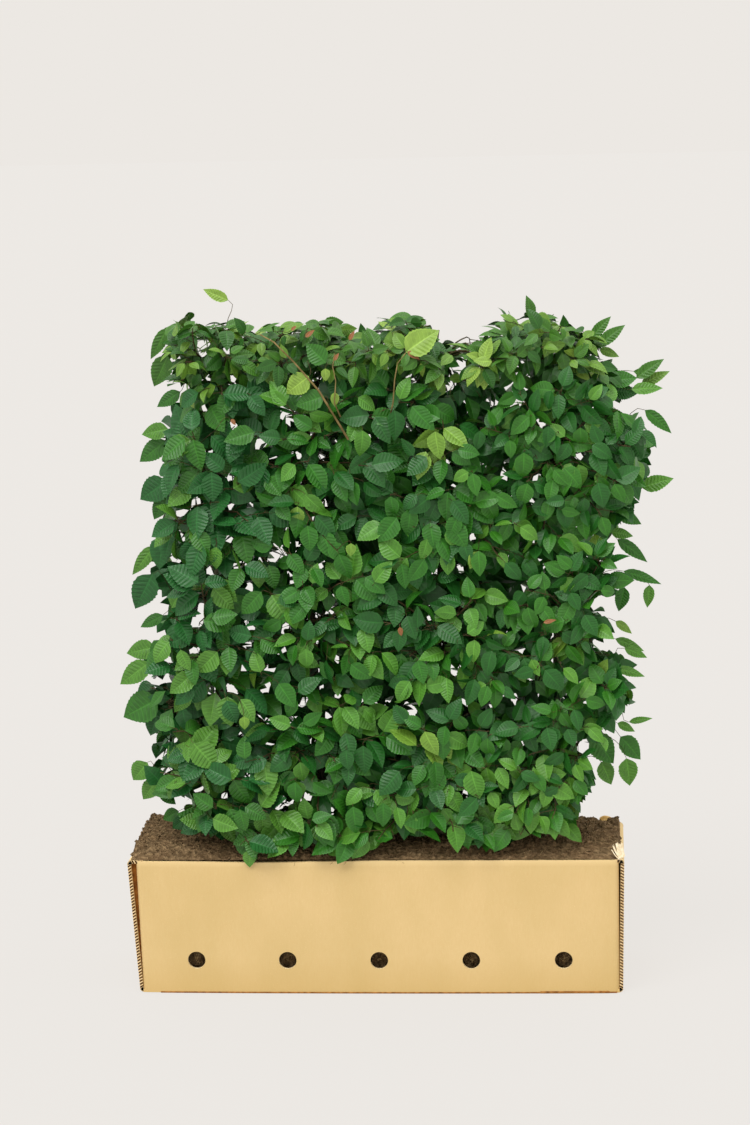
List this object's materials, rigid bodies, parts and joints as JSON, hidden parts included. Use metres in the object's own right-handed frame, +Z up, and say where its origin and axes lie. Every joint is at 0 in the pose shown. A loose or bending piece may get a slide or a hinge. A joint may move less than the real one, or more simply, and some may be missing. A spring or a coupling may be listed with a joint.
{
  "type": "boxed hedge plant",
  "caption": "Ready-grown block of hornbeam hedge on upright stems, set in an open corrugated cardboard trough filled with soil and pierced for drainage",
  "frame": {"origin": "centre of the trough's flat underside", "axes": "+Z up, +X along the trough to the viewer's right in the picture, -Y to the front"},
  "size_m": [1.1348, 0.3639, 1.4238],
  "materials": {
    "kraft_board": "matt brown kraft corrugated board",
    "moist_soil": "moist crumbly potting soil",
    "hornbeam_bark": "smooth grey-brown bark",
    "leaf_left": "half-matt dark green leaves",
    "leaf_middle": "half-matt dark green leaves",
    "leaf_right": "slightly glossy green leaves",
    "leaf_top": "half-matt young light green leaves"
  },
  "bodies": {
    "root": {"cardboard_trough": "kraft_board", "soil": "moist_soil", "stem_1": "hornbeam_bark", "stem_2": "hornbeam_bark", "stem_3": "hornbeam_bark", "stem_4": "hornbeam_bark", "bough_front_middle_1": "hornbeam_bark", "bough_front_middle_2": "hornbeam_bark", "bough_front_middle_3": "hornbeam_bark", "bough_front_middle_4": "hornbeam_bark", "bough_front_high_1": "hornbeam_bark", "bough_front_high_2": "hornbeam_bark", "bough_front_high_3": "hornbeam_bark", "bough_front_high_4": "hornbeam_bark", "bough_back_middle_1": "hornbeam_bark", "bough_back_middle_2": "hornbeam_bark", "bough_back_middle_3": "hornbeam_bark", "bough_back_middle_4": "hornbeam_bark", "bough_back_high_1": "hornbeam_bark", "bough_back_high_2": "hornbeam_bark", "bough_back_high_3": "hornbeam_bark", "bough_back_high_4": "hornbeam_bark", "bough_left_low": "hornbeam_bark", "bough_left_high": "hornbeam_bark", "bough_right_low": "hornbeam_bark", "bough_right_high": "hornbeam_bark", "foliage_front_low_1": "leaf_left", "foliage_front_low_2": "leaf_middle", "foliage_front_low_3": "leaf_middle", "foliage_front_low_4": "leaf_right", "foliage_front_middle_1": "leaf_left", "foliage_front_middle_2": "leaf_middle", "foliage_front_middle_3": "leaf_middle", "foliage_front_middle_4": "leaf_right", "foliage_front_high_1": "leaf_left", "foliage_front_high_2": "leaf_middle", "foliage_front_high_3": "leaf_middle", "foliage_front_high_4": "leaf_right", "foliage_back_low_1": "leaf_left", "foliage_back_low_2": "leaf_middle", "foliage_back_low_3": "leaf_middle", "foliage_back_low_4": "leaf_right", "foliage_back_middle_1": "leaf_left", "foliage_back_middle_2": "leaf_middle", "foliage_back_middle_3": "leaf_middle", "foliage_back_middle_4": "leaf_right", "foliage_back_high_1": "leaf_left", "foliage_back_high_2": "leaf_middle", "foliage_back_high_3": "leaf_middle", "foliage_back_high_4": "leaf_right", "foliage_top_1": "leaf_top", "foliage_top_2": "leaf_top", "foliage_top_3": "leaf_top", "foliage_top_4": "leaf_top", "foliage_left_low": "leaf_left", "foliage_left_high": "leaf_left", "foliage_right_low": "leaf_right", "foliage_right_high": "leaf_right"}
  },
  "joints": []
}
